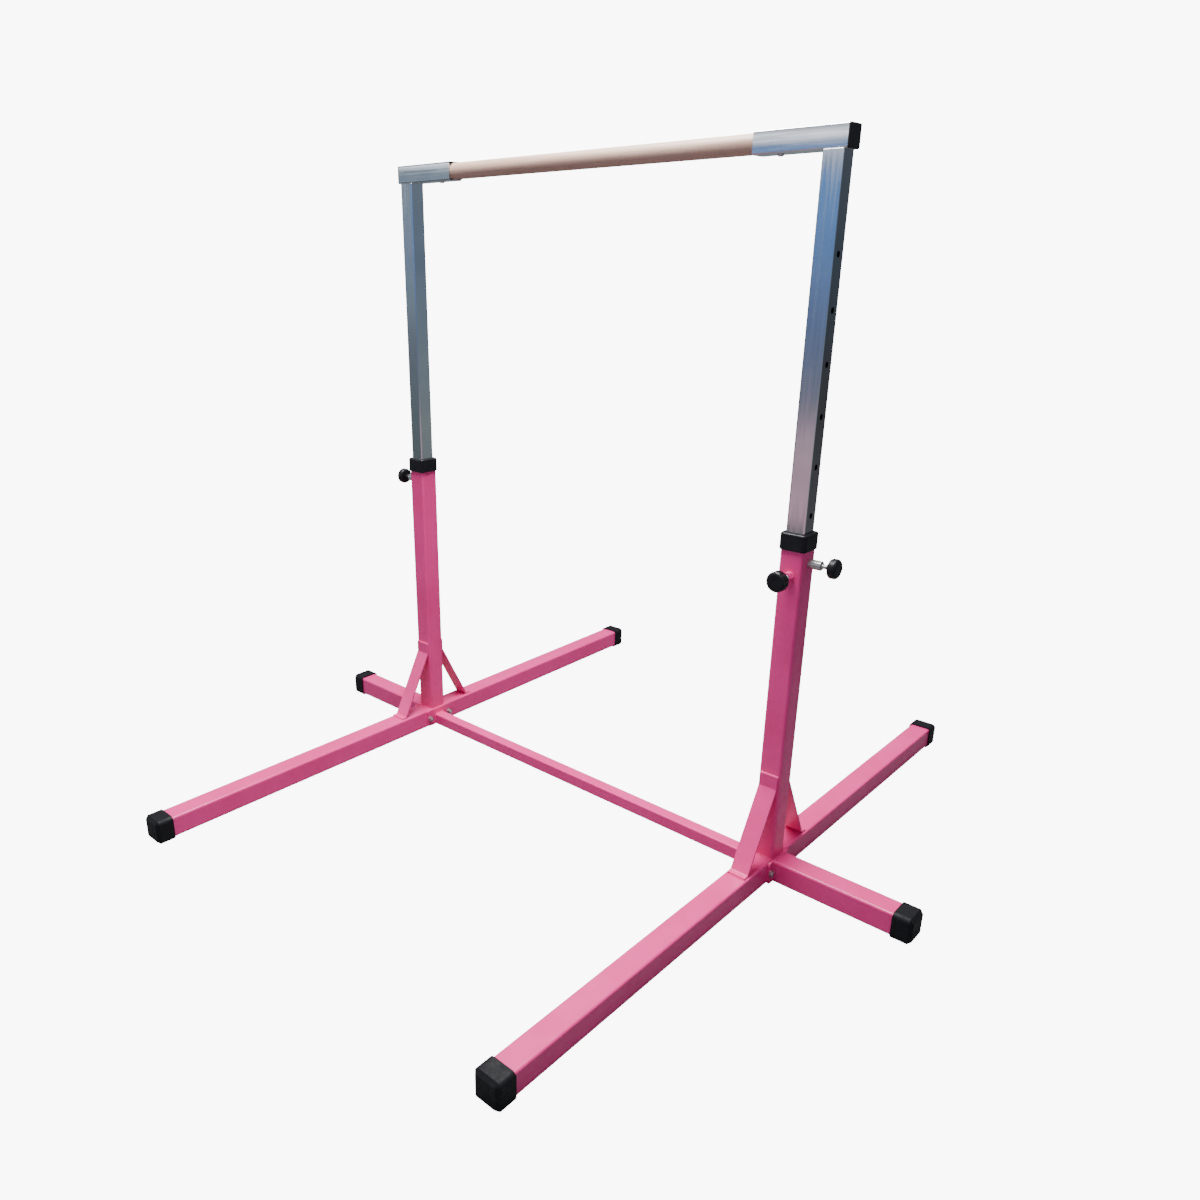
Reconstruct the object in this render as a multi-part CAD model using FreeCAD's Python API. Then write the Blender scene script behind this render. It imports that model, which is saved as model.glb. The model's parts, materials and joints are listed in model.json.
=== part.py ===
import FreeCAD, Part
import os
from math import atan2, cos, degrees, hypot, radians, sin, tan

# A junior kip bar: two stands on the floor joined by a ground bar, and an upper frame that
# telescopes in the stands' posts and carries a round wooden grip bar. Millimetres.
#
# Frame: the origin is on the floor, midway between the posts. +X runs along the grip bar to the
# right-hand stand, the one with the clamp knob. The user stands on the -Y side. +Z is up.
# The grip bar is drawn at its top height, with both lock pins parked out of their holes.

V = FreeCAD.Vector
X, Y, Z = V(1, 0, 0), V(0, 1, 0), V(0, 0, 1)
SIDES = {"right": 1, "left": -1}

# ---- driving dimensions -------------------------------------------------------------------
POST_SPACING = 1068          # from post axis to post axis
BASE_DEPTH = 1676            # a main leg with its two end caps
SIDE_REACH = 326             # post axis to the outboard face of the side leg's cap
TOP_HEIGHT = 1432            # floor to the top of the arms at the top setting
CAP_WALL = 4                 # rubber under the leg tubes lifts them off the floor

LEG = 50                     # leg tube, outside
LEG_WALL = 2
LEG_RADIUS = 5
CAP_LENGTH = 40
CAP_END = 7                  # rubber past the end of the leg
CAP_RADIUS = 10
CAP_BEVEL = 7

POST = 48                    # post tube, outside
POST_WALL = 2
POST_RADIUS = 5
POST_TOP = 748

RAIL = 38                    # chromed tube of the uprights and arms, outside
RAIL_WALL = 1.5
RAIL_RADIUS = 3
UPRIGHT_INSERTION = 130      # length inside the post at the top setting
HOLE_PITCH = 90
HEIGHT_SETTINGS = 7

ARM_INBOARD = 150            # post axis to the arm's open end
ARM_OUTBOARD = 24            # post axis to the arm's plugged end

GRIP_DIAMETER = 34.6
GRIP_INSERTION = 90          # length of the grip bar inside each arm
GRIP_SCREW_INSET = 45        # arm's open end to the screw

GROUND_BAR = 30
GROUND_BAR_WALL = 1.5
GROUND_BAR_RADIUS = 3
GROUND_BAR_BOTTOM = 7

BRACE_WIDTH = 40
BRACE_THICKNESS = 4
BRACE_TOP = 248              # top end of the tab on the post
BRACE_KNEE = 220             # where the strap leaves the post
BRACE_FOOT_START = 113       # where the strap meets the leg, from the post axis
BRACE_FOOT_END = 126
BRACE_BEND_RADIUS = 4

COLLAR_WALL = 3.5
COLLAR_BOTTOM = 719
COLLAR_LIP = 4               # collar material past the top of the post
COLLAR_ROUND = 3.5
COLLAR_FOOT_ROUND = 2
BUSH_DEPTH = 26              # reach of the bush inside the post

PIN_HEIGHT = 695
PIN_TRAVEL = 12
CLAMP_HEIGHT = 670

BOLT_OFFSET = 34             # hub bolts, in front of and behind the post axis
SIDE_PLATE = 5               # thickness of the side leg's end plate
BAR_PLATE = 4                # thickness of the ground bar's end plates
PLATE_WIDTH = 84
PLATE_RADIUS = 8
BAR_PLATE_HEIGHT = 46

BOLT = 8                     # hub bolts, M8
BOLT_HOLE = 9
BOLT_FLATS = 13
BOLT_HEAD = 5.5
BOLT_SPARE = 3               # thread left past the nut
NUT = 6.5
WASHER = 1.6                 # thickness
WASHER_DIAMETER = 16
WASHER_HOLE = 8.4

LOCK_HOLE = 11               # in the uprights
PIN_NOSE = 9.6               # diameters of the lock pin
PIN_ROD = 8
PIN_CHAMBER = 12.4           # bore of the barrel round the pin's shoulder
PIN_CHAMFER = 1.5
PIN_PARKED_GAP = 0.7         # parked tip to the upright
SHOULDER_LENGTH = 3
BARREL = 18
BARREL_END = 52              # post axis to the barrel's outer end
BARREL_END_WALL = 4
BARREL_CHAMFER = 1
SPRING_WIRE = 1.1
SPRING_TURNS = 5
SPRING_END_GAP = 0.1
PIN_KNOB = 38
PIN_KNOB_NECK = 18
PIN_KNOB_NECK_LENGTH = 3
PIN_KNOB_GAP = 0.5           # knob to barrel with the pin right in
PIN_KNOB_END = 85            # post axis to the knob's outer face
PIN_KNOB_CROWN = 4           # knob material past the end of the pin's tail
PIN_KNOB_ROUND = 6

STUD = 10                    # clamp screw, M10
STUD_END = 70                # post axis to the stud's end inside the knob
CLAMP_HOLE = 11
CLAMP_NUT = 10
CLAMP_NUT_FLATS = 17
CLAMP_KNOB = 40
CLAMP_KNOB_START = 56
CLAMP_KNOB_END = 78
CLAMP_KNOB_NECK = 20
CLAMP_KNOB_NECK_LENGTH = 3
CLAMP_KNOB_BACK_ROUND = 4
CLAMP_KNOB_ROUND = 6
CLAMP_LOBES = 6
SCALLOP = 18                 # diameter of the finger scallops between the lobes
SCALLOP_DEPTH = 1.5

PLUG_FLANGE = 4
PLUG_SHANK = 16
PLUG_WALL = 2
PLUG_RADIUS = 2.5
INSERT = 9                   # threaded inserts in the grip bar
INSERT_LENGTH = 14
INSERT_SINK = 1              # below the grip bar's surface
PILOT_SPARE = 3              # pilot hole past the insert's end
SCREW = 6                    # grip screws, M6
SCREW_LENGTH = 16
SCREW_HOLE = 6.4
SCREW_HEAD = 11
SCREW_HEAD_HEIGHT = 3.3
SCREW_HEAD_ROUND = 2.6
SCREW_KEY = 4
SCREW_KEY_DEPTH = 2
GRIP_CHAMFER = 1.5

CORNER_CHAMFER = 30          # degrees, on the corners of nuts and bolt heads
CHAMFER_CIRCLE = 0.96        # of the width across flats
THROUGH = 1                  # a cut's overshoot past each face

FREE = 0.3                   # clearance each side between parts that move past each other
RUNNING = 0.05               # clearance each side of the clamp's thread

# ---- derived dimensions -------------------------------------------------------------------
POST_X = POST_SPACING / 2
LEG_TOP = CAP_WALL + LEG
LEG_AXIS = CAP_WALL + LEG / 2
ARM_AXIS = TOP_HEIGHT - RAIL / 2
UPRIGHT_TOP = TOP_HEIGHT - RAIL
UPRIGHT_BOTTOM = POST_TOP - UPRIGHT_INSERTION
HUB_FACE = LEG / 2           # post axis to either side of the main leg
PIN_TIP = RAIL / 2 + PIN_PARKED_GAP
PIN_SHOULDER = POST / 2 + FREE + PIN_TRAVEL
PIN_KNOB_START = BARREL_END + PIN_TRAVEL + PIN_KNOB_GAP
STUD_TIP = RAIL / 2 + FREE


# ---- helpers ------------------------------------------------------------------------------
def rounded_face(width, height, radius):
    """A rectangle with rounded corners, centred on the origin in the XY plane."""
    w, h, r = width / 2, height / 2, radius
    corners = [(w - r, h - r, 0), (r - w, h - r, 90), (r - w, r - h, 180), (w - r, r - h, 270)]
    edges = []
    arcs = [Part.makeCircle(r, V(x, y, 0), Z, start, start + 90) for x, y, start in corners]
    for arc, following in zip(arcs, arcs[1:] + arcs[:1]):
        edges.append(arc)
        edges.append(Part.makeLine(arc.valueAt(arc.LastParameter),
                                   following.valueAt(following.FirstParameter)))
    return Part.Face(Part.Wire(Part.__sortEdges__(edges)))


def lay(shape, direction, place):
    """Turn a shape drawn along +Z to a direction, and move its origin to a place."""
    placed = shape.copy()
    placed.Placement = FreeCAD.Placement(place, FreeCAD.Rotation(Z, direction))
    return placed


def prism(width, height, radius, length, direction, place):
    """A bar with a rounded rectangular section."""
    return lay(rounded_face(width, height, radius).extrude(Z * length), direction, place)


def square_tube(size, wall, radius, length, direction, place):
    outside = prism(size, size, radius, length, direction, place)
    inside = prism(size - 2 * wall, size - 2 * wall, radius - wall, length, direction, place)
    return outside.cut(inside)


def rod(diameter, length, direction, place):
    return Part.makeCylinder(diameter / 2, length, place, direction)


def turned(profile, direction, place):
    """A solid of revolution. The profile is (distance along the axis, radius) points."""
    points = [V(radius, 0, along) for along, radius in profile]
    face = Part.Face(Part.makePolygon(points + points[:1]))
    return lay(face.revolve(V(0, 0, 0), Z, 360), direction, place)


def hexagon(across_flats, length, direction, place):
    corner = across_flats / 2 / cos(radians(30))
    points = [V(corner * cos(radians(a)), corner * sin(radians(a)), 0) for a in range(0, 360, 60)]
    face = Part.Face(Part.makePolygon(points + points[:1]))
    return lay(face.extrude(Z * length), direction, place)


def chamfered_hexagon(across_flats, length, direction, place):
    """A hexagon whose corners are turned off at the far end."""
    wide, circle = across_flats, across_flats / 2 * CHAMFER_CIRCLE
    drop = (wide - circle) * tan(radians(CORNER_CHAMFER))
    cone = turned([(0, 0), (0, wide), (length - drop, wide), (length, circle), (length, 0)],
                  direction, place)
    return hexagon(across_flats, length, direction, place).common(cone)


def edges_at(shape, axis, value):
    """The edges that lie wholly in the plane where the axis coordinate has the value."""
    low, high = axis + "Min", axis + "Max"
    return [e for e in shape.Edges
            if abs(getattr(e.BoundBox, low) - value) < 0.01
            and abs(getattr(e.BoundBox, high) - value) < 0.01]


def rims(shape, diameter):
    """The circular edges of one diameter."""
    return [e for e in shape.Edges
            if isinstance(e.Curve, Part.Circle) and abs(2 * e.Curve.Radius - diameter) < 0.01]


def edges_through(shape, *points):
    """The edges along X that pass through any of the points."""
    return [e for e in shape.Edges if e.BoundBox.XLength > 1
            and any(e.distToShape(Part.Vertex(p))[0] < 0.01 for p in points)]


def post_place(side, height=0):
    return V(SIDES[side] * POST_X, 0, height)


# ---- stands -------------------------------------------------------------------------------
def main_leg(side):
    """The long floor tube that runs front to back under a post."""
    length = BASE_DEPTH - 2 * CAP_END
    start = post_place(side, LEG_AXIS) - Y * (length / 2)
    leg = square_tube(LEG, LEG_WALL, LEG_RADIUS, length, Y, start)
    for offset in (-BOLT_OFFSET, BOLT_OFFSET):
        through = post_place(side, LEG_AXIS) + V(-LEG, offset, 0)
        leg = leg.cut(rod(BOLT_HOLE, 2 * LEG, X, through))
    return leg


def hub_plate(side, outward, thickness, bottom, height):
    """An end plate bolted to one side of the main leg; outward is +1 on its outboard side."""
    direction = X * (SIDES[side] * outward)
    face_centre = post_place(side, bottom + height / 2) + direction * HUB_FACE
    plate = prism(height, PLATE_WIDTH, PLATE_RADIUS, thickness, direction, face_centre)
    for offset in (-BOLT_OFFSET, BOLT_OFFSET):
        hole_start = post_place(side, LEG_AXIS) + direction * (HUB_FACE - THROUGH) + Y * offset
        plate = plate.cut(rod(BOLT_HOLE, thickness + 2 * THROUGH, direction, hole_start))
    return plate


def side_leg(side):
    """The short floor tube that points outboard from the middle of a main leg."""
    direction = X * SIDES[side]
    start = post_place(side, LEG_AXIS) + direction * (HUB_FACE + SIDE_PLATE)
    length = SIDE_REACH - CAP_END - HUB_FACE - SIDE_PLATE
    return square_tube(LEG, LEG_WALL, LEG_RADIUS, length, direction, start)


def side_leg_plate(side):
    return hub_plate(side, 1, SIDE_PLATE, CAP_WALL, LEG)


def leg_cap(direction, end):
    """A thick rubber cup over a leg's end; end is the centre of its outer face."""
    size = LEG + 2 * CAP_WALL
    cap = rounded_face(size, size, CAP_RADIUS).extrude(Z * CAP_LENGTH)
    cap = cap.makeChamfer(CAP_BEVEL, edges_at(cap, "Z", 0))
    pocket = rounded_face(LEG, LEG, LEG_RADIUS).extrude(Z * CAP_LENGTH)
    cap = cap.cut(pocket.translated(Z * CAP_END))
    return lay(cap, -direction, end)


def end_cap(side, where):
    if where == "side":
        direction = X * SIDES[side]
        return leg_cap(direction, post_place(side, LEG_AXIS) + direction * SIDE_REACH)
    direction = Y if where == "back" else -Y
    return leg_cap(direction, post_place(side, LEG_AXIS) + direction * (BASE_DEPTH / 2))


def post(side):
    """The painted outer tube that the upright slides in."""
    tube = square_tube(POST, POST_WALL, POST_RADIUS, POST_TOP - LEG_TOP, Z,
                       post_place(side, LEG_TOP))
    outboard = X * SIDES[side]
    tube = tube.cut(rod(PIN_NOSE + 2 * FREE, POST, outboard, post_place(side, PIN_HEIGHT)))
    if side == "right":
        tube = tube.cut(rod(CLAMP_HOLE, POST, -Y, post_place(side, CLAMP_HEIGHT)))
    return tube


def brace(side, where):
    """A flat strap bent at both ends, from the post's face down to the main leg's top."""
    face, thick = POST / 2, BRACE_THICKNESS
    knee = V(0, face + thick, BRACE_KNEE)
    foot = V(0, BRACE_FOOT_START, LEG_TOP + thick)
    slope = (foot - knee).normalize()
    inner = knee + slope.cross(X) * thick
    inner_knee = inner + slope * ((face - inner.y) / slope.y)
    inner_foot = inner + slope * ((LEG_TOP - inner.z) / slope.z)
    outline = [V(0, face, BRACE_TOP), inner_knee, inner_foot, V(0, BRACE_FOOT_END, LEG_TOP),
               V(0, BRACE_FOOT_END, foot.z), foot, knee, V(0, knee.y, BRACE_TOP)]
    strap = Part.Face(Part.makePolygon(outline + outline[:1])).extrude(X * BRACE_WIDTH)
    strap = strap.makeFillet(BRACE_BEND_RADIUS, edges_through(strap, knee, foot))
    strap = strap.makeFillet(BRACE_BEND_RADIUS + thick,
                             edges_through(strap, inner_knee, inner_foot))
    strap.translate(X * (-BRACE_WIDTH / 2))
    if where == "front":
        strap = strap.mirror(V(0, 0, 0), Y)
    return strap.translated(post_place(side))


def collar(side):
    """The black end fitting on a post: a sleeve outside, and a bush that guides the upright."""
    outer = POST + 2 * COLLAR_WALL
    hole = RAIL + 2 * FREE
    top = POST_TOP + COLLAR_LIP
    shell = prism(outer, outer, POST_RADIUS + COLLAR_WALL, top - COLLAR_BOTTOM, Z,
                  post_place(side, COLLAR_BOTTOM))
    shell = shell.makeFillet(COLLAR_ROUND, edges_at(shell, "Z", top))
    shell = shell.makeFillet(COLLAR_FOOT_ROUND, edges_at(shell, "Z", COLLAR_BOTTOM))
    shell = shell.cut(prism(POST, POST, POST_RADIUS, POST_TOP - COLLAR_BOTTOM, Z,
                            post_place(side, COLLAR_BOTTOM)))
    inside = POST - 2 * POST_WALL
    bush = prism(inside, inside, POST_RADIUS - POST_WALL, BUSH_DEPTH, Z,
                 post_place(side, POST_TOP - BUSH_DEPTH))
    passage = prism(hole, hole, RAIL_RADIUS + FREE, POST, Z,
                    post_place(side, POST_TOP - BUSH_DEPTH))
    return shell.fuse(bush).cut(passage)


def ground_bar():
    inset = HUB_FACE + BAR_PLATE
    start = V(inset - POST_X, 0, GROUND_BAR_BOTTOM + GROUND_BAR / 2)
    return square_tube(GROUND_BAR, GROUND_BAR_WALL, GROUND_BAR_RADIUS,
                       POST_SPACING - 2 * inset, X, start)


def ground_bar_plate(side):
    return hub_plate(side, -1, BAR_PLATE, GROUND_BAR_BOTTOM, BAR_PLATE_HEIGHT)


# ---- hub fasteners ------------------------------------------------------------------------
def hub_fastener_places(side, outward):
    """Where the hub's two bolts pass the outer face of the plate on one side of the leg."""
    direction = X * (SIDES[side] * outward)
    thickness = SIDE_PLATE if outward > 0 else BAR_PLATE
    centre = post_place(side, LEG_AXIS) + direction * (HUB_FACE + thickness)
    return direction, [centre + Y * offset for offset in (-BOLT_OFFSET, BOLT_OFFSET)]


def hub_bolts(side):
    """Two hexagon bolts, with their heads outboard."""
    direction, places = hub_fastener_places(side, 1)
    shank = SIDE_PLATE + LEG + BAR_PLATE + 2 * WASHER + NUT + BOLT_SPARE
    bolts = []
    for place in places:
        seat = place + direction * WASHER
        head = chamfered_hexagon(BOLT_FLATS, BOLT_HEAD, direction, seat)
        bolts.append(head.fuse(rod(BOLT, shank, -direction, seat)).removeSplitter())
    return Part.makeCompound(bolts)


def hub_nuts(side):
    direction, places = hub_fastener_places(side, -1)
    nuts = []
    for place in places:
        seat = place + direction * WASHER
        nut = chamfered_hexagon(BOLT_FLATS, NUT, direction, seat)
        nuts.append(nut.cut(rod(BOLT, NUT, direction, seat)))
    return Part.makeCompound(nuts)


def hub_washers(side):
    washers = []
    for outward in (1, -1):
        direction, places = hub_fastener_places(side, outward)
        for place in places:
            disc = rod(WASHER_DIAMETER, WASHER, direction, place)
            washers.append(disc.cut(rod(WASHER_HOLE, WASHER, direction, place)))
    return Part.makeCompound(washers)


# ---- upper frame --------------------------------------------------------------------------
def upright(side):
    """The chromed inner tube, with a row of lock holes down its outboard face."""
    tube = square_tube(RAIL, RAIL_WALL, RAIL_RADIUS, UPRIGHT_TOP - UPRIGHT_BOTTOM, Z,
                       post_place(side, UPRIGHT_BOTTOM))
    for setting in range(HEIGHT_SETTINGS):
        centre = post_place(side, PIN_HEIGHT + setting * HOLE_PITCH)
        tube = tube.cut(rod(LOCK_HOLE, RAIL, X * SIDES[side], centre))
    return tube


def arm(side):
    """The chromed tube across the top of an upright that holds one end of the grip bar."""
    inboard = X * -SIDES[side]
    start = post_place(side, ARM_AXIS) - inboard * ARM_OUTBOARD
    tube = square_tube(RAIL, RAIL_WALL, RAIL_RADIUS, ARM_OUTBOARD + ARM_INBOARD, inboard, start)
    return tube.cut(rod(SCREW_HOLE, RAIL / 2, -Z, grip_screw_place(side)))


def arm_plug(side):
    """The black square plug in an arm's outboard end: a flange and a hollow shank."""
    outboard = X * SIDES[side]
    seat = post_place(side, ARM_AXIS) + outboard * ARM_OUTBOARD
    flange = prism(RAIL, RAIL, RAIL_RADIUS, PLUG_FLANGE, outboard, seat)
    outer_face = seat.x + PLUG_FLANGE * SIDES[side]
    flange = flange.makeFillet(PLUG_FLANGE / 2, edges_at(flange, "X", outer_face))
    inside = RAIL - 2 * RAIL_WALL
    shank = square_tube(inside, PLUG_WALL, PLUG_RADIUS, PLUG_SHANK, -outboard, seat)
    return flange.fuse(shank).removeSplitter()


def grip_screw_place(side):
    return V(SIDES[side] * (POST_X - ARM_INBOARD + GRIP_SCREW_INSET), 0, ARM_AXIS)


def grip_bar():
    """The round beech bar; its ends are hidden in the arms."""
    half = POST_X - ARM_INBOARD + GRIP_INSERTION
    bar = rod(GRIP_DIAMETER, 2 * half, X, V(-half, 0, ARM_AXIS))
    bar = bar.makeChamfer(GRIP_CHAMFER, edges_at(bar, "X", half) + edges_at(bar, "X", -half))
    for side in SIDES:
        bottom = insert_start(side) - Z * (2 * INSERT_SINK)
        depth = 2 * INSERT_SINK + INSERT_LENGTH + PILOT_SPARE
        bar = bar.cut(rod(INSERT, depth, Z, bottom))
    return bar


def insert_start(side):
    return grip_screw_place(side) - Z * (GRIP_DIAMETER / 2 - INSERT_SINK)


def grip_inserts():
    inserts = []
    for side in SIDES:
        sleeve = rod(INSERT, INSERT_LENGTH, Z, insert_start(side))
        inserts.append(sleeve.cut(rod(SCREW, INSERT_LENGTH, Z, insert_start(side))))
    return Part.makeCompound(inserts)


def grip_screws():
    """Button-head socket screws up through the arms' undersides into the inserts."""
    screws = []
    for side in SIDES:
        seat = grip_screw_place(side) - Z * (RAIL / 2)
        crown = seat - Z * SCREW_HEAD_HEIGHT
        head = rod(SCREW_HEAD, SCREW_HEAD_HEIGHT, -Z, seat)
        head = head.makeFillet(SCREW_HEAD_ROUND, edges_at(head, "Z", crown.z))
        head = head.cut(hexagon(SCREW_KEY, SCREW_KEY_DEPTH, Z, crown))
        screws.append(head.fuse(rod(SCREW, SCREW_LENGTH, Z, seat)).removeSplitter())
    return Part.makeCompound(screws)


# ---- lock pins ----------------------------------------------------------------------------
def pin_place(side, reach):
    """A point on the lock pin's axis, at a distance outboard of the post axis."""
    return post_place(side, PIN_HEIGHT) + X * (SIDES[side] * reach)


def pin_barrel(side):
    """The plated housing welded to the post's outboard face."""
    outboard = X * SIDES[side]
    start = POST / 2
    length = BARREL_END - start
    body = rod(BARREL, length, outboard, pin_place(side, start))
    outer_end = SIDES[side] * (POST_X + BARREL_END)
    body = body.makeChamfer(BARREL_CHAMFER, edges_at(body, "X", outer_end))
    body = body.cut(rod(PIN_CHAMBER, length - BARREL_END_WALL, outboard, pin_place(side, start)))
    return body.cut(rod(PIN_ROD + 2 * FREE, length, outboard, pin_place(side, start)))


def pin_plunger(side):
    """The steel pin: a nose that locks the upright, a shoulder for the spring and a tail."""
    nose, shoulder, tail = PIN_NOSE / 2, PIN_CHAMBER / 2 - FREE, PIN_ROD / 2
    back = PIN_SHOULDER + SHOULDER_LENGTH
    end = PIN_KNOB_END - PIN_KNOB_CROWN
    stations = [(PIN_TIP, 0), (PIN_TIP, nose - PIN_CHAMFER), (PIN_TIP + PIN_CHAMFER, nose),
                (PIN_SHOULDER, nose), (PIN_SHOULDER, shoulder), (back, shoulder), (back, tail),
                (end, tail), (end, 0)]
    return turned(stations, X * SIDES[side], pin_place(side, 0))


def pin_spring(side):
    """A compression spring: half rings, tilted to and fro so that each runs into the next."""
    start = PIN_SHOULDER + SHOULDER_LENGTH + SPRING_END_GAP + SPRING_WIRE / 2
    end = BARREL_END - BARREL_END_WALL - SPRING_END_GAP - SPRING_WIRE / 2
    halves = 2 * SPRING_TURNS
    rise = (end - start) / halves
    radius = (PIN_CHAMBER + PIN_ROD) / 4
    tilt = degrees(atan2(rise / 2, radius))
    rings = []
    for half in range(halves):
        ring = Part.makeTorus(hypot(radius, rise / 2), SPRING_WIRE / 2, V(), Z, 0, 360, 180)
        ring.rotate(V(), Z, 180 * half)
        ring.rotate(V(), Y, tilt * (-1) ** half)
        rings.append(ring.translated(Z * rise * (half + 0.5)))
    coil = rings[0].fuse(rings[1:])
    return lay(coil, X * SIDES[side], pin_place(side, start))


def pin_knob(side):
    """A round knob with a short neck, moulded on the pin's tail."""
    outboard = X * SIDES[side]
    start = pin_place(side, PIN_KNOB_START)
    disc_start = pin_place(side, PIN_KNOB_START + PIN_KNOB_NECK_LENGTH)
    disc = rod(PIN_KNOB, PIN_KNOB_END - PIN_KNOB_START - PIN_KNOB_NECK_LENGTH, outboard, disc_start)
    disc = disc.makeFillet(PIN_KNOB_ROUND, rims(disc, PIN_KNOB))
    knob = disc.fuse(rod(PIN_KNOB_NECK, PIN_KNOB_NECK_LENGTH, outboard, start)).removeSplitter()
    socket = PIN_KNOB_END - PIN_KNOB_CROWN - PIN_KNOB_START
    return knob.cut(rod(PIN_ROD, socket, outboard, start))


# ---- clamp screw --------------------------------------------------------------------------
def clamp_place(reach):
    """A point on the clamp screw's axis, at a distance in front of the right-hand post axis."""
    return post_place("right", CLAMP_HEIGHT) - Y * reach


def clamp_nut():
    """A hexagon nut welded to the post's front face."""
    seat = clamp_place(POST / 2)
    nut = chamfered_hexagon(CLAMP_NUT_FLATS, CLAMP_NUT, -Y, seat)
    return nut.cut(rod(STUD + 2 * RUNNING, CLAMP_NUT, -Y, seat))


def clamp_stud():
    radius = STUD / 2
    stations = [(STUD_TIP, 0), (STUD_TIP, radius - PIN_CHAMFER), (STUD_TIP + PIN_CHAMFER, radius),
                (STUD_END, radius), (STUD_END, 0)]
    return turned(stations, -Y, clamp_place(0))


def clamp_knob():
    """A round hand knob with shallow finger scallops."""
    start, end = CLAMP_KNOB_START, CLAMP_KNOB_END
    disc_start = start + CLAMP_KNOB_NECK_LENGTH
    disc = rod(CLAMP_KNOB, end - disc_start, -Y, clamp_place(disc_start))
    disc = disc.makeFillet(CLAMP_KNOB_BACK_ROUND, edges_at(disc, "Y", -disc_start))
    disc = disc.makeFillet(CLAMP_KNOB_ROUND, edges_at(disc, "Y", -end))
    for lobe in range(CLAMP_LOBES):
        angle = radians(lobe * 360 / CLAMP_LOBES)
        reach = (CLAMP_KNOB + SCALLOP) / 2 - SCALLOP_DEPTH
        across = V(cos(angle), 0, sin(angle)) * reach
        disc = disc.cut(rod(SCALLOP, end - disc_start, -Y, clamp_place(disc_start) + across))
    neck = rod(CLAMP_KNOB_NECK, CLAMP_KNOB_NECK_LENGTH, -Y, clamp_place(start))
    socket = rod(STUD + 2 * RUNNING, STUD_END + FREE - start, -Y, clamp_place(start))
    return disc.fuse(neck).removeSplitter().cut(socket)


# ---- assembly -----------------------------------------------------------------------------
def all_nodes():
    nodes = {}
    for side in SIDES:
        nodes["main_leg_" + side] = main_leg(side)
        nodes["side_leg_" + side] = side_leg(side)
        nodes["side_leg_plate_" + side] = side_leg_plate(side)
        nodes["post_" + side] = post(side)
        nodes["collar_" + side] = collar(side)
        nodes["ground_bar_plate_" + side] = ground_bar_plate(side)
        nodes["hub_bolts_" + side] = hub_bolts(side)
        nodes["hub_nuts_" + side] = hub_nuts(side)
        nodes["hub_washers_" + side] = hub_washers(side)
        for where in ("front", "back"):
            nodes["brace_" + where + "_" + side] = brace(side, where)
        for where in ("front", "back", "side"):
            nodes["leg_cap_" + where + "_" + side] = end_cap(side, where)
        nodes["upright_" + side] = upright(side)
        nodes["arm_" + side] = arm(side)
        nodes["arm_plug_" + side] = arm_plug(side)
        nodes["pin_barrel_" + side] = pin_barrel(side)
        nodes["pin_plunger_" + side] = pin_plunger(side)
        nodes["pin_spring_" + side] = pin_spring(side)
        nodes["pin_knob_" + side] = pin_knob(side)
    nodes["ground_bar"] = ground_bar()
    nodes["grip_bar"] = grip_bar()
    nodes["grip_inserts"] = grip_inserts()
    nodes["grip_screws"] = grip_screws()
    nodes["clamp_nut"] = clamp_nut()
    nodes["clamp_stud"] = clamp_stud()
    nodes["clamp_knob"] = clamp_knob()
    return nodes


os.makedirs("parts", exist_ok=True)
for name, shape in all_nodes().items():
    shape.exportStep("parts/" + name + ".step")
    print(name, "valid" if shape.isValid() else "INVALID", len(shape.Solids), round(shape.Volume))
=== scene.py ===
import bmesh
import bpy
import json
import random
from math import cos, pi, radians, sin, sqrt
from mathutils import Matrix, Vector


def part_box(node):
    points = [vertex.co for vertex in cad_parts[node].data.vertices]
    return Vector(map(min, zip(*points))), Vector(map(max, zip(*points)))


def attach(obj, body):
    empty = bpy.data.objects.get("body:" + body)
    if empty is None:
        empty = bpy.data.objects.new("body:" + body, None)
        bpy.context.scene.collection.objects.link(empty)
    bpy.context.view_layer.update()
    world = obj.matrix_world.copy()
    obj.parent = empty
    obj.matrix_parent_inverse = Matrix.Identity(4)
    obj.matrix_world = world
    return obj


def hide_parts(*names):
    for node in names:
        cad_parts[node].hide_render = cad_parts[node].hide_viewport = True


# The looks of a junior kip bar, in metres, in the frame of its CAD model: +X runs along the
# grip bar to the right-hand stand, the user stands on the -Y side, and +Z is up.

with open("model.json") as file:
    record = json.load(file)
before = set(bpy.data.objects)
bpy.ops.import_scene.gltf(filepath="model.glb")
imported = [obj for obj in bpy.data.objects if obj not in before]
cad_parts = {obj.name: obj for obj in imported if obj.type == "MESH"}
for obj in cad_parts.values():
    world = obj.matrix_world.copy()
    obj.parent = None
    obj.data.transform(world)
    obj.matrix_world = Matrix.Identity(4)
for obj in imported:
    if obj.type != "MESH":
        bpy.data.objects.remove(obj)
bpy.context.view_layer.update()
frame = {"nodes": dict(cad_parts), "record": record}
SIDES = {"right": 1, "left": -1}
X, Y, Z = Vector((1, 0, 0)), Vector((0, 1, 0)), Vector((0, 0, 1))

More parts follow.
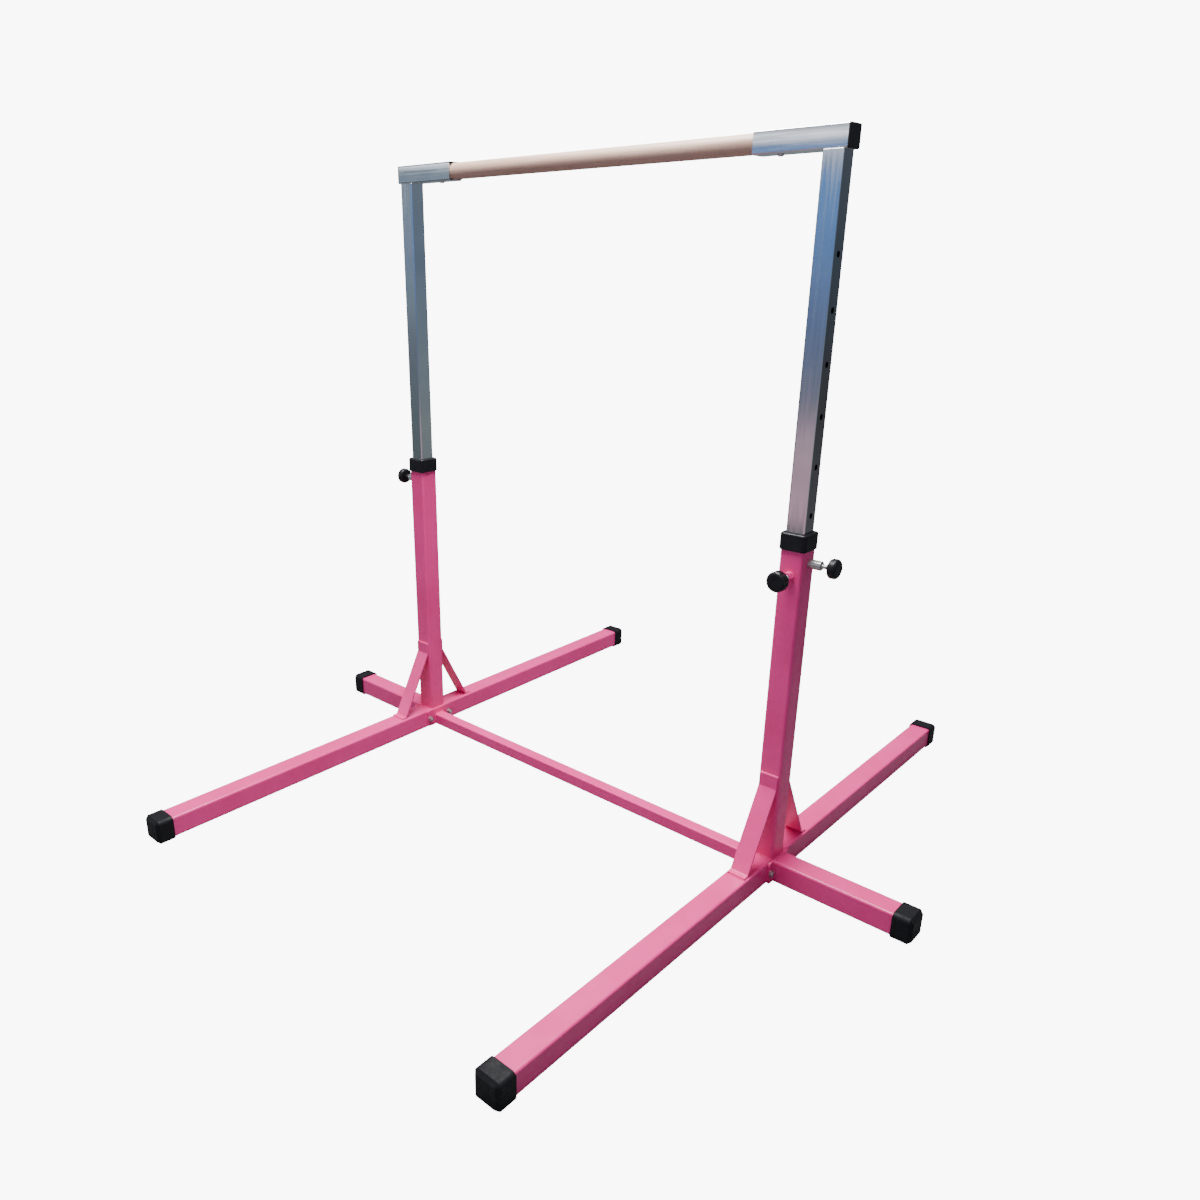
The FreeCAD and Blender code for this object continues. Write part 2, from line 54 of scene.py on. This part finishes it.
# ---- sizes that the frame doesn't hold ----------------------------------------------------
LEG_RADIUS = 0.005           # outside corner radii of the tubes
POST_RADIUS = 0.005
RAIL_RADIUS = 0.003
BAR_RADIUS = 0.003
BEAD = 0.0024                # radius of a weld bead
FINE_BEAD = 0.0016
GROUND_BEAD = 0.0007         # a weld ground back before chroming
TUBE_END_BEAD = BEAD * 0.8   # round the end of a tube on its plate
BEAD_PITCH = 0.0034          # from ripple to ripple
BEAD_STEPS = 6               # rings along one ripple
BEAD_SEGMENTS = 10
BEAD_WIDTHS = (0.88, 1.08)   # least and greatest width of a ripple, of the bead's own
RIPPLE_FALL = 0.26           # share of its width that a ripple loses along its length
RIPPLE_LAG = 0.0006          # how far a ripple's middle runs ahead, and its edges fall behind
TAPER_START, TAPER_STEP = 0.35, 0.16    # of full width: an open bead's first ring, and each after
ARC_STEPS = 6
RING_WELD_END = 350          # degrees; the last step of a ring weld closes it
RING_WELD_STEPS = 36
WELD_FOOT_GAP = 0.006        # a three-sided weld stops this far above the tube's underside
BRACE_TAB = 0.024            # length of the weld down each side of a brace's top end
BRACE_HEEL = 0.011           # and along each side of its foot
STUD_PITCH = 0.0015          # M10
BOLT_PITCH = 0.00125         # M8
BOLT_RADIUS = 0.004
BOLT_FLATS = 0.013
BOLT_CHAMFER_CIRCLE = 0.97   # where a head's chamfer meets its end face, of the width across flats
BOLT_CHAMFER_DEPTH = 0.30    # of the head's height
BOLT_CHAMFER_STEPS = 6
THREAD_LENGTH = 0.022
THREAD_DEPTH = 0.6           # of the pitch
THREAD_CHAMFER = 1.2         # of the thread's depth
THREAD_STEPS = 8             # rings along one turn of a thread
THREAD_SEGMENTS = 96
SHARP_ANGLE = 38             # degrees; edges between new faces stay sharp above it
CROWN = 0.74                 # an arm's faces fall by this times the squared height off centre

# ---- studio and camera --------------------------------------------------------------------
FLOOR_RADIUS = 2.9
FLOOR_GLOW = 8.8             # what the camera sees of the floor beyond the light on it
BACKDROP = 9.2               # strength of the backdrop that the camera sees
FLOOR_SEGMENTS = 96
LAMP_PLACE = (-0.10, -0.18, 2.8)
LAMP_TARGET = (-0.10, -0.05, 0)
LAMP_SIZE = (1.4, 1.4)
LAMP_POWER = 183             # watts

CAMERA_PLACE = (1.3566, -1.6154, 1.2192)
CAMERA_ANGLES = (69.40, -0.04, 42.98)    # degrees
CAMERA_LENS = 28.86
CAMERA_SHIFT = (0.0564, 0.0213)


# ---- material helpers ---------------------------------------------------------------------
def colour_ramp(nodes, stops):
    """A new colour ramp node; a stop is (position, colour)."""
    node = nodes.new("ShaderNodeValToRGB")
    elements = node.color_ramp.elements
    for element, (position, colour) in zip(elements, (stops[0], stops[-1])):
        element.position = position
        element.color = (*colour, 1)
    for position, colour in stops[1:-1]:
        elements.new(position).color = (*colour, 1)
    return node


class Material:
    """A procedural material on one Principled shader, with short calls for its nodes."""

    def __init__(self, name, metallic=0.0, **inputs):
        self.data = bpy.data.materials.new(name)
        self.data.use_nodes = True
        self.nodes = self.data.node_tree.nodes
        self.shader = self.nodes["Principled BSDF"]
        self.shader.inputs["Metallic"].default_value = metallic
        for socket, value in inputs.items():
            self.shader.inputs[socket.replace("_", " ")].default_value = value
        self.place = self.nodes.new("ShaderNodeTexCoord").outputs["Object"]

    def link(self, output, socket):
        self.data.node_tree.links.new(output, socket)

    def noise(self, size, stretch=(1, 1, 1), detail=3.0, roughness=0.5):
        """Noise whose features are about size metres across, drawn out along each axis."""
        mapping = self.nodes.new("ShaderNodeMapping")
        mapping.inputs["Scale"].default_value = [1 / (size * s) for s in stretch]
        self.link(self.place, mapping.inputs["Vector"])
        texture = self.nodes.new("ShaderNodeTexNoise")
        texture.inputs["Scale"].default_value = 1.0
        texture.inputs["Detail"].default_value = detail
        texture.inputs["Roughness"].default_value = roughness
        self.link(mapping.outputs["Vector"], texture.inputs["Vector"])
        return texture.outputs["Fac"]

    def ramp(self, factor, stops):
        """Colours along a factor."""
        node = colour_ramp(self.nodes, stops)
        self.link(factor, node.inputs["Fac"])
        return node.outputs["Color"]

    def span(self, factor, low, high, start=0.3, end=0.7):
        """Maps start..end of a factor to low..high, and stops there."""
        node = self.nodes.new("ShaderNodeMapRange")
        for socket, value in zip(("From Min", "From Max", "To Min", "To Max"),
                                 (start, end, low, high)):
            node.inputs[socket].default_value = value
        self.link(factor, node.inputs["Value"])
        return node.outputs["Result"]

    def mix(self, factor, first, second):
        """Blends two colours; either may be a plain colour or a node's output."""
        node = self.nodes.new("ShaderNodeMix")
        node.data_type = "RGBA"
        self.link(factor, node.inputs[0])
        for socket, colour in zip(node.inputs[6:8], (first, second)):
            if isinstance(colour, tuple):
                socket.default_value = (*colour, 1)
            else:
                self.link(colour, socket)
        return node.outputs[2]

    def crown(self, centre):
        """The square of the height above or below a level."""
        axes = self.nodes.new("ShaderNodeSeparateXYZ")
        self.link(self.place, axes.inputs["Vector"])
        rise = self.nodes.new("ShaderNodeMath")
        rise.operation = "SUBTRACT"
        rise.inputs[1].default_value = centre
        self.link(axes.outputs["Z"], rise.inputs[0])
        squared = self.nodes.new("ShaderNodeMath")
        squared.operation = "MULTIPLY"
        self.link(rise.outputs[0], squared.inputs[0])
        self.link(rise.outputs[0], squared.inputs[1])
        return squared.outputs[0]

    def colour(self, output):
        self.link(output, self.shader.inputs["Base Color"])

    def rough(self, output):
        self.link(output, self.shader.inputs["Roughness"])

    def bump(self, height, strength, depth):
        """Adds a bump layer over the ones before it; depth is in metres."""
        node = self.nodes.new("ShaderNodeBump")
        node.inputs["Strength"].default_value = strength
        node.inputs["Distance"].default_value = depth
        self.link(height, node.inputs["Height"])
        normal = self.shader.inputs["Normal"]
        if normal.is_linked:
            self.link(normal.links[0].from_socket, node.inputs["Normal"])
        self.link(node.outputs["Normal"], normal)


def along(axis, length):
    """Stretch factors for grain that runs along one axis."""
    return [length if axis == i else 1 for i in range(3)]


# ---- materials ----------------------------------------------------------------------------
def pink_paint():
    """Gloss powder coat: orange peel, slight unevenness and faint handling scuffs."""
    m = Material("pink_paint", Coat_Weight=0.25, Coat_Roughness=0.14)
    m.shader.inputs["Specular IOR Level"].default_value = 0.35
    shade = m.ramp(m.noise(0.12, detail=2), [(0.35, (0.86, 0.042, 0.255)),
                                             (0.65, (0.92, 0.052, 0.295))])
    scuffs = m.span(m.noise(0.0011, along(2, 26), detail=4, roughness=0.7), 0, 0.35, 0.72, 0.80)
    m.colour(m.mix(scuffs, shade, (0.93, 0.14, 0.42)))
    m.rough(m.span(m.noise(0.035, detail=4), 0.28, 0.42))
    m.bump(m.noise(0.0030, detail=2), 0.22, 0.00030)
    m.bump(m.noise(0.0007, detail=1), 0.08, 0.00010)
    return m.data


def chrome(name, axis, crown_centre=None):
    """Bright chrome over drawn tube: fine draw lines, sliding marks and a soft haze. A tube
    across the frame can have a faint crown to its upright faces, centred at a height."""
    m = Material(name, metallic=1.0)
    haze = m.ramp(m.noise(0.09, detail=3), [(0.3, (0.58, 0.61, 0.66)), (0.7, (0.68, 0.70, 0.73))])
    marks = m.span(m.noise(0.0016, along(axis, 60), detail=5, roughness=0.65), 0, 0.45, 0.60, 0.74)
    m.colour(m.mix(marks, haze, (0.44, 0.46, 0.49)))
    m.rough(m.span(m.noise(0.004, along(axis, 30), detail=4), 0.05, 0.15))
    m.bump(m.noise(0.0009, along(axis, 160), detail=2), 0.10, 0.00008)
    m.bump(m.noise(0.030, along(axis, 4), detail=1), 0.10, 0.0008)
    if crown_centre is not None:
        m.bump(m.crown(crown_centre), 1.0, -CROWN)
    return m.data


def beech():
    """Sanded beech along X: soft growth bands, fine streaks and short dark ray flecks."""
    m = Material("beech", Coat_Weight=0.12, Coat_Roughness=0.35)
    bands = m.ramp(m.noise(0.014, along(0, 26), detail=3), [(0.30, (0.43, 0.280, 0.212)),
                                                            (0.50, (0.53, 0.362, 0.280)),
                                                            (0.72, (0.61, 0.432, 0.342))])
    streaks = m.span(m.noise(0.0014, along(0, 60), detail=4, roughness=0.6), 0, 0.45)
    flecks = m.span(m.noise(0.00055, along(0, 7), detail=1), 0, 0.75, 0.66, 0.72)
    tone = m.mix(streaks, bands, (0.38, 0.215, 0.145))
    m.colour(m.mix(flecks, tone, (0.22, 0.11, 0.07)))
    m.rough(m.span(m.noise(0.003, along(0, 20), detail=3), 0.42, 0.58))
    m.bump(m.noise(0.0007, along(0, 40), detail=3), 0.25, 0.00015)
    return m.data


def black_rubber():
    """Moulded rubber with a fine grain, scuffed grey in patches."""
    m = Material("black_rubber")
    m.shader.inputs["Specular IOR Level"].default_value = 0.22
    worn = m.span(m.noise(0.006, detail=5, roughness=0.7), 0, 0.8, 0.52, 0.72)
    m.colour(m.mix(worn, (0.0055, 0.0055, 0.0075), (0.016, 0.0155, 0.018)))
    m.rough(m.span(m.noise(0.010, detail=3), 0.50, 0.72))
    m.bump(m.noise(0.00045, detail=2), 0.35, 0.00012)
    m.bump(m.noise(0.0060, detail=2), 0.15, 0.00030)
    return m.data


def black_plastic():
    """Spark-eroded mould texture on hard plastic, polished a little by hands."""
    m = Material("black_plastic")
    m.shader.inputs["Specular IOR Level"].default_value = 0.30
    m.colour(m.ramp(m.noise(0.02), [(0.3, (0.0045, 0.0045, 0.0060)),
                                    (0.7, (0.0090, 0.0090, 0.0110))]))
    m.rough(m.span(m.noise(0.008, detail=4), 0.30, 0.48))
    m.bump(m.noise(0.0005, detail=1), 0.28, 0.00010)
    return m.data


def zinc_steel():
    """Bright zinc plate with a faint yellow to blue passivation and a fine grain."""
    m = Material("zinc_steel", metallic=1.0)
    m.colour(m.ramp(m.noise(0.006, detail=2), [(0.25, (0.50, 0.53, 0.57)),
                                               (0.50, (0.58, 0.58, 0.57)),
                                               (0.75, (0.62, 0.60, 0.52))]))
    m.rough(m.span(m.noise(0.0015, detail=4), 0.27, 0.38))
    m.bump(m.noise(0.0006, detail=3), 0.05, 0.00005)
    return m.data


def spring_steel():
    m = Material("spring_steel", metallic=1.0)
    m.colour(m.ramp(m.noise(0.002), [(0.3, (0.28, 0.28, 0.29)), (0.7, (0.42, 0.42, 0.43))]))
    m.rough(m.span(m.noise(0.001), 0.28, 0.42))
    return m.data


def brass():
    m = Material("brass", metallic=1.0)
    m.colour(m.ramp(m.noise(0.003), [(0.3, (0.62, 0.42, 0.16)), (0.7, (0.78, 0.58, 0.26))]))
    m.rough(m.span(m.noise(0.0012), 0.22, 0.38))
    return m.data


def pale_floor():
    """Pale and evenly lit for the camera, and duller to the object, so that it throws less light
    up under the tubes."""
    m = Material("pale_floor", Roughness=0.8)
    m.shader.inputs["Base Color"].default_value = (0.14, 0.14, 0.14, 1)
    m.shader.inputs["Emission Color"].default_value = (1, 1, 1, 1)
    seen = m.nodes.new("ShaderNodeLightPath").outputs["Is Camera Ray"]
    m.link(m.span(seen, 0, FLOOR_GLOW, 0, 1), m.shader.inputs["Emission Strength"])
    return m.data


MATERIALS = {
    "pink_paint": pink_paint(),
    "chrome": chrome("chrome_upright", 2),
    "beech": beech(),
    "black_rubber": black_rubber(),
    "black_plastic": black_plastic(),
    "zinc_steel": zinc_steel(),
    "spring_steel": spring_steel(),
    "brass": brass(),
}
ARM_CHROME = chrome("chrome_arm", 0, crown_centre=sum(z for _, _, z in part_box("arm_right")) / 2)


def dress(piece, material):
    piece.data.materials.clear()
    piece.data.materials.append(material)


def dress_cad_nodes():
    for subpart in frame["record"]["subparts"]:
        node = frame["nodes"][subpart["node"]]
        is_arm = subpart["node"] in ("arm_right", "arm_left")
        dress(node, ARM_CHROME if is_arm else MATERIALS[subpart["material_slot"]])


# ---- mesh helpers -------------------------------------------------------------------------
def add_piece(name, mesh_data, material, body):
    """A new smooth-shaded piece of the object that rides on a body."""
    mesh_data.materials.append(material)
    mesh_data.shade_smooth()
    mesh_data.set_sharp_from_angle(angle=radians(SHARP_ANGLE))
    piece = bpy.data.objects.new(name, mesh_data)
    bpy.context.scene.collection.objects.link(piece)
    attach(piece, body)
    return piece


def tidy_mesh(name, mesh):
    bmesh.ops.recalc_face_normals(mesh, faces=mesh.faces)
    data = bpy.data.meshes.new(name)
    mesh.to_mesh(data)
    mesh.free()
    return data


def bridge(mesh, rings, closed):
    """Skins a row of equal rings; an open row gets an end face at each end."""
    count = len(rings[0])
    following = rings[1:] + rings[:1] if closed else rings[1:]
    for ring, after in zip(rings, following):
        for i in range(count):
            j = (i + 1) % count
            mesh.faces.new((ring[i], ring[j], after[j], after[i]))
    if not closed:
        mesh.faces.new(rings[0])
        mesh.faces.new(rings[-1])


def resample(points, closed, spacing):
    """Evenly spaced points along a path of straight pieces."""
    path = points + points[:1] if closed else points
    lengths = [(b - a).length for a, b in zip(path, path[1:])]
    total = sum(lengths)
    count = max(int(total / spacing), 2)
    evened = []
    for i in range(count if closed else count + 1):
        wanted = total * i / count
        piece = 0
        while piece < len(lengths) - 1 and wanted > lengths[piece]:
            wanted -= lengths[piece]
            piece += 1
        evened.append(path[piece].lerp(path[piece + 1], wanted / lengths[piece]))
    return evened


def weld(name, points, normal, radius, body, closed=False, material=None):
    """A weld bead along a path: overlapping ripples, a little uneven in width."""
    dice = random.Random(name)
    path = resample(points, closed, BEAD_PITCH / BEAD_STEPS)
    mesh = bmesh.new()
    rings = []
    for i, point in enumerate(path):
        before, after = path[i - 1], path[(i + 1) % len(path)]
        if not closed:
            before, after = path[max(i - 1, 0)], path[min(i + 1, len(path) - 1)]
        forward = (after - before).normalized()
        side = forward.cross(normal).normalized()
        if i % BEAD_STEPS == 0:
            width = dice.uniform(*BEAD_WIDTHS)
        fall = (i % BEAD_STEPS) / BEAD_STEPS
        reach = radius * width * (1 - RIPPLE_FALL * fall * fall)
        from_end = min(i, len(path) - 1 - i)
        taper = 1.0 if closed else min(1.0, TAPER_START + TAPER_STEP * from_end)
        ring = []
        for k in range(BEAD_SEGMENTS):
            angle = 2 * pi * k / BEAD_SEGMENTS
            lag = -RIPPLE_LAG * cos(2 * angle)
            offset = (side * cos(angle) + normal * sin(angle)) * reach * taper + forward * lag
            ring.append(mesh.verts.new(point + offset))
        rings.append(ring)
    bridge(mesh, rings, closed)
    material = material or MATERIALS["pink_paint"]
    add_piece(name, tidy_mesh(name, mesh), material, body)


def arc(centre, u, v, radius, start, end, steps=ARC_STEPS):
    """Points round part of a circle, from angle start to end in degrees, u towards v."""
    angles = [radians(start + (end - start) * i / steps) for i in range(steps + 1)]
    return [centre + (u * cos(a) + v * sin(a)) * radius for a in angles]


def rounded_loop(centre, u, v, width, height, radius):
    """The outline of a rounded rectangle in the plane of u and v."""
    w, h = width / 2 - radius, height / 2 - radius
    points = []
    for du, dv, start in ((w, h, 0), (-w, h, 90), (-w, -h, 180), (w, -h, 270)):
        points += arc(centre + u * du + v * dv, u, v, radius, start, start + 90)
    return points


def middle(node):
    low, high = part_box(node)
    return (low + high) / 2


# ---- welds --------------------------------------------------------------------------------
def post_weld(side):
    """Round the post's foot; at the sides it follows the leg's rounded edges down."""
    low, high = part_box("post_" + side)
    leg_low, leg_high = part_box("main_leg_" + side)
    centre = Vector((middle("post_" + side).x, 0, leg_high.z))
    flat = (leg_high.x - leg_low.x) / 2 - LEG_RADIUS
    points = []
    for point in rounded_loop(centre, X, Y, high.x - low.x, high.y - low.y, POST_RADIUS):
        past = max(abs(point.x - centre.x) - flat, 0)
        points.append(point - Z * (LEG_RADIUS - sqrt(LEG_RADIUS ** 2 - past ** 2)))
    weld("post_weld_" + side, points, Z, BEAD, "base", closed=True)


def brace_welds(side, where):
    """Three sides of each end of a brace."""
    low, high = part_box("brace_" + where + "_" + side)
    out = -1 if where == "front" else 1
    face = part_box("post_" + side)[1].y * out
    top = [Vector((low.x, face, high.z - BRACE_TAB)), Vector((low.x, face, high.z)),
           Vector((high.x, face, high.z)), Vector((high.x, face, high.z - BRACE_TAB))]
    weld("brace_top_weld_" + where + "_" + side, top, Y, FINE_BEAD, "base")
    toe = max(abs(low.y), abs(high.y)) * out
    heel = toe - out * BRACE_HEEL
    foot = [Vector((low.x, heel, low.z)), Vector((low.x, toe, low.z)),
            Vector((high.x, toe, low.z)), Vector((high.x, heel, low.z))]
    weld("brace_foot_weld_" + where + "_" + side, foot, Z, FINE_BEAD, "base")


def tube_end_weld(name, plane_x, low, high, radius, body):
    """Up one side of a tube that ends on a plate, across its top and down the other side."""
    bottom = low.z + WELD_FOOT_GAP
    start = Vector((plane_x, low.y, bottom))
    end = Vector((plane_x, high.y, bottom))
    corner_a = Vector((plane_x, low.y + radius, high.z - radius))
    corner_b = Vector((plane_x, high.y - radius, high.z - radius))
    points = [start, *arc(corner_a, -Y, Z, radius, 0, 90)]
    points += [*arc(corner_b, Y, Z, radius, 90, 0), end]
    weld(name, points, X, TUBE_END_BEAD, body)


def plate_welds(side):
    """The side leg and the ground bar, each on its own end plate."""
    low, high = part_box("side_leg_" + side)
    inner = low.x if SIDES[side] > 0 else high.x
    tube_end_weld("side_leg_weld_" + side, inner, low, high, LEG_RADIUS, "base")
    low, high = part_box("ground_bar")
    outer = high.x if SIDES[side] > 0 else low.x
    tube_end_weld("ground_bar_weld_" + side, outer, low, high, BAR_RADIUS, "base")


def fitting_welds(side):
    """Round the lock pin's barrel, and round the clamp nut on the right-hand post."""
    low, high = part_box("pin_barrel_" + side)
    face = low.x if SIDES[side] > 0 else high.x
    centre = Vector((face, (low.y + high.y) / 2, (low.z + high.z) / 2))
    ring = arc(centre, Y, Z, (high.y - low.y) / 2, 0, RING_WELD_END, RING_WELD_STEPS)
    weld("pin_barrel_weld_" + side, ring, X, FINE_BEAD, "base", closed=True)
    if side == "right":
        low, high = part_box("clamp_nut")
        centre = Vector(((low.x + high.x) / 2, high.y, (low.z + high.z) / 2))
        ring = arc(centre, X, Z, (high.z - low.z) / 2, 0, RING_WELD_END, RING_WELD_STEPS)
        weld("clamp_nut_weld", ring, Y, FINE_BEAD, "base", closed=True)


def arm_weld(side):
    """Round the top of the upright, ground flat and chromed with the tubes."""
    low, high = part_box("upright_" + side)
    centre = Vector(((low.x + high.x) / 2, 0, high.z))
    loop = rounded_loop(centre, X, Y, high.x - low.x, high.y - low.y, RAIL_RADIUS)
    weld("arm_weld_" + side, loop, Z, GROUND_BEAD, "upper_frame", closed=True,
         material=MATERIALS["chrome"])


# ---- threaded pieces ----------------------------------------------------------------------
def add_rings(mesh, stations, place, direction):
    """One closed turned solid, along a level direction. A station is (distance along, radius
    as a function of angle)."""
    u = direction.cross(Z).normalized()
    v = direction.cross(u)
    rings = []
    for distance, reach in stations:
        ring = []
        for k in range(THREAD_SEGMENTS):
            angle = 2 * pi * k / THREAD_SEGMENTS
            out = (u * cos(angle) + v * sin(angle)) * reach(angle)
            ring.append(mesh.verts.new(place + direction * distance + out))
        rings.append(ring)
    bridge(mesh, rings, closed=False)


def thread_stations(length, radius, pitch, chamfer_end):
    """Rings of a plain V thread, chamfered where it starts and, if asked, where it ends."""
    depth = THREAD_DEPTH * pitch
    count = int(length / pitch * THREAD_STEPS)
    stations = []
    for i in range(count + 1):
        distance = length * i / count

        def reach(angle, distance=distance):
            phase = (distance / pitch - angle / (2 * pi)) % 1
            crest = radius - depth * abs(2 * phase - 1)
            crest = min(crest, radius - THREAD_CHAMFER * depth + distance)
            if chamfer_end:
                crest = min(crest, radius - THREAD_CHAMFER * depth + length - distance)
            return crest
        stations.append((distance, reach))
    return stations


def clamp_stud():
    low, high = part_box("clamp_stud")
    centre = (low + high) / 2
    place = Vector((centre.x, high.y, centre.z))
    radius = (high.x - low.x) / 2
    mesh = bmesh.new()
    stations = thread_stations(high.y - low.y, radius, STUD_PITCH, chamfer_end=True)
    add_rings(mesh, stations, place, -Y)
    piece = add_piece("threaded_clamp_stud", tidy_mesh("threaded_clamp_stud", mesh),
                      MATERIALS["zinc_steel"], "clamp_stud")
    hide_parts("clamp_stud")


def shank_reach(_):
    return BOLT_RADIUS


def hexagon_reach(angle):
    """Centre to edge of the bolt's hexagon; a corner stands along angle 0."""
    within = (angle % (pi / 3)) - pi / 6
    return BOLT_FLATS / 2 / cos(within)


def hub_bolts(side):
    """Two hexagon bolts with chamfered heads and a threaded end."""
    low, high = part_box("hub_bolts_" + side)
    washer_low, washer_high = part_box("hub_washers_" + side)
    outward = SIDES[side]
    direction = X * outward
    head_end = high.x if outward > 0 else low.x
    seat = washer_high.x if outward > 0 else washer_low.x
    tail = low.x if outward > 0 else high.x
    head = abs(head_end - seat)
    shank = abs(seat - tail)
    chamfer_radius = BOLT_FLATS / 2 * BOLT_CHAMFER_CIRCLE
    corner_cut = BOLT_FLATS / 2 / cos(pi / 6) - chamfer_radius
    mesh = bmesh.new()
    for row in (low.y + BOLT_FLATS / 2, high.y - BOLT_FLATS / 2):
        place = Vector((tail, row, (low.z + high.z) / 2))
        stations = thread_stations(THREAD_LENGTH, BOLT_RADIUS, BOLT_PITCH, chamfer_end=False)
        stations += [(THREAD_LENGTH + BOLT_PITCH, shank_reach), (shank, shank_reach)]
        stations += [(shank, hexagon_reach)]
        for i in range(BOLT_CHAMFER_STEPS + 1):
            rise = head * BOLT_CHAMFER_DEPTH * i / BOLT_CHAMFER_STEPS
            limit = chamfer_radius + corner_cut * (1 - i / BOLT_CHAMFER_STEPS)

            def chamfer_reach(angle, limit=limit):
                return min(hexagon_reach(angle), limit)
            stations.append((shank + head * (1 - BOLT_CHAMFER_DEPTH) + rise, chamfer_reach))
        add_rings(mesh, stations, place, direction)
    name = "hub_bolt_pair_" + side
    piece = add_piece(name, tidy_mesh(name, mesh), MATERIALS["zinc_steel"], "base")
    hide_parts("hub_bolts_" + side)


# ---- studio -------------------------------------------------------------------------------
def floor():
    bpy.ops.mesh.primitive_circle_add(vertices=FLOOR_SEGMENTS, radius=FLOOR_RADIUS,
                                      fill_type="NGON")
    disc = bpy.context.object
    disc.name = "studio_floor"
    disc.data.materials.append(pale_floor())


def area_light(name, place, target, size, power):
    data = bpy.data.lights.new(name, "AREA")
    data.shape = "RECTANGLE"
    data.size, data.size_y = size
    data.energy = power
    light = bpy.data.objects.new(name, data)
    light.location = place
    light.rotation_euler = (Vector(target) - Vector(place)).to_track_quat("-Z", "Y").to_euler()
    bpy.context.scene.collection.objects.link(light)


def studio():
    """A pale backdrop for the camera; for light and reflections, a soft room in bands of colour
    by height, which differ in front, beside and behind. One lamp hangs overhead."""
    world = bpy.data.worlds.new("studio")
    bpy.context.scene.world = world
    world.use_nodes = True
    nodes, links = world.node_tree.nodes, world.node_tree.links
    direction = nodes.new("ShaderNodeTexCoord").outputs["Generated"]
    axes = nodes.new("ShaderNodeSeparateXYZ")
    links.new(direction, axes.inputs["Vector"])

    def ramp(stops):
        """Colours by the direction's height, from 0 straight down to 1 straight up."""
        node = colour_ramp(nodes, stops)
        height = nodes.new("ShaderNodeMapRange")
        height.inputs["From Min"].default_value = -1
        links.new(axes.outputs["Z"], height.inputs["Value"])
        links.new(height.outputs["Result"], node.inputs["Fac"])
        return node.outputs["Color"]

    def turn(axis, start, end):
        """0 where the direction's component along an axis is start, and 1 where it is end."""
        node = nodes.new("ShaderNodeMapRange")
        node.inputs["From Min"].default_value = start
        node.inputs["From Max"].default_value = end
        links.new(axes.outputs[axis], node.inputs["Value"])
        return node.outputs["Result"]

    def blend(factor, first, second):
        node = nodes.new("ShaderNodeMix")
        node.data_type = "RGBA"
        for output, socket in zip((factor, first, second), (node.inputs[i] for i in (0, 6, 7))):
            links.new(output, socket)
        return node.outputs[2]

    front = ramp([
        (0.38, (0.74, 0.44, 0.54)), (0.424, (0.60, 0.43, 0.50)), (0.434, (0.22, 0.23, 0.28)),
        (0.467, (0.16, 0.21, 0.36)), (0.490, (0.18, 0.27, 0.52)), (0.511, (0.17, 0.33, 0.68)),
        (0.539, (0.17, 0.37, 0.82)), (0.545, (0.25, 0.27, 0.30)), (0.558, (2.20, 2.25, 2.35)),
        (0.567, (2.20, 2.25, 2.35)), (0.575, (0.32, 0.36, 0.42)), (0.64, (0.24, 0.26, 0.30)),
        (0.80, (0.30, 0.30, 0.32)), (1.0, (0.45, 0.45, 0.45))
    ])
    beside = ramp([
        (0.30, (0.12, 0.14, 0.15)), (0.41, (0.13, 0.17, 0.17)), (0.46, (0.17, 0.20, 0.24)),
        (0.485, (0.24, 0.31, 0.37)), (0.508, (0.28, 0.36, 0.50)), (0.528, (0.30, 0.38, 0.46)),
        (0.548, (0.26, 0.32, 0.38)), (0.563, (2.80, 3.00, 3.20)), (0.585, (2.80, 3.00, 3.20)),
        (0.60, (0.45, 0.48, 0.52)), (1.0, (0.45, 0.45, 0.45))
    ])
    deep = ramp([
        (0.30, (0.12, 0.12, 0.13)), (0.44, (0.055, 0.055, 0.060)),
        (0.50, (0.060, 0.075, 0.095)), (0.60, (0.12, 0.13, 0.15)), (1.0, (0.40, 0.40, 0.40))
    ])
    open_side = ramp([
        (0.30, (0.20, 0.20, 0.22)), (0.42, (0.25, 0.29, 0.29)), (0.50, (0.17, 0.22, 0.29)),
        (0.60, (0.22, 0.25, 0.28)), (1.0, (0.40, 0.40, 0.40))
    ])
    shaded = blend(turn("X", 0.36, 0.26), deep, open_side)
    behind = blend(turn("X", 0.52, 0.68), shaded, open_side)
    near = blend(turn("X", -0.52, -0.68), front, beside)
    room = blend(turn("Y", -0.35, 0.35), near, behind)
    lit = nodes["Background"]
    links.new(room, lit.inputs["Color"])
    backdrop = nodes.new("ShaderNodeBackground")
    backdrop.inputs["Color"].default_value = (1, 1, 1, 1)
    backdrop.inputs["Strength"].default_value = BACKDROP
    seen = nodes.new("ShaderNodeLightPath")
    either = nodes.new("ShaderNodeMixShader")
    links.new(seen.outputs["Is Camera Ray"], either.inputs["Fac"])
    links.new(lit.outputs["Background"], either.inputs[1])
    links.new(backdrop.outputs["Background"], either.inputs[2])
    links.new(either.outputs["Shader"], nodes["World Output"].inputs["Surface"])
    area_light("overhead", LAMP_PLACE, LAMP_TARGET, LAMP_SIZE, LAMP_POWER)


def camera():
    data = bpy.data.cameras.new("camera")
    data.lens = CAMERA_LENS
    data.shift_x, data.shift_y = CAMERA_SHIFT
    eye = bpy.data.objects.new("camera", data)
    eye.location = CAMERA_PLACE
    eye.rotation_euler = [radians(a) for a in CAMERA_ANGLES]
    bpy.context.scene.collection.objects.link(eye)
    bpy.context.scene.camera = eye


# ---- the object ---------------------------------------------------------------------------
camera()
studio()
floor()
dress_cad_nodes()
for side in SIDES:
    post_weld(side)
    plate_welds(side)
    fitting_welds(side)
    arm_weld(side)
    hub_bolts(side)
    for where in ("front", "back"):
        brace_welds(side, where)
clamp_stud()
